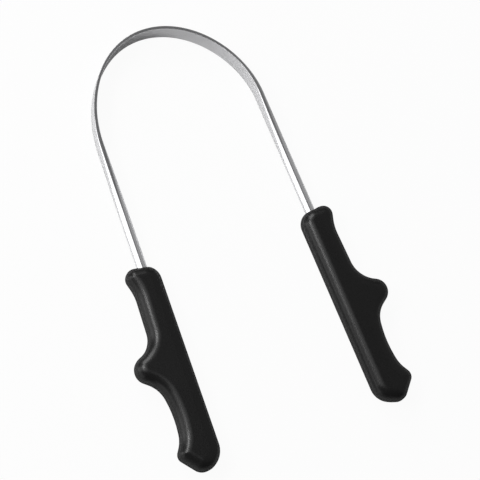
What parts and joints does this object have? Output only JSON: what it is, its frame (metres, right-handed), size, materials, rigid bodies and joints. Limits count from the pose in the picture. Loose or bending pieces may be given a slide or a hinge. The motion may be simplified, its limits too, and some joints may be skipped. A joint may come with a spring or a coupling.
{
  "type": "tongue scraper",
  "caption": "U-shaped tongue scraper: a sprung steel rod pressed into a thin flat band round its arch, with a black moulded handle with a finger stop on each end.",
  "frame": {"origin": "bottom centre of the bounding box, on the surface that the backs of the handles lie on", "axes": "+X across to the right handle, +Y along the handles towards the arch, +Z out of the front of the handles"},
  "size_m": [0.092, 0.1496, 0.0095],
  "materials": {
    "steel": "polished stainless steel",
    "black_plastic": "satin black moulded plastic"
  },
  "bodies": {
    "root": {"steel_loop": "steel", "left_handle": "black_plastic", "right_handle": "black_plastic"}
  },
  "joints": []
}
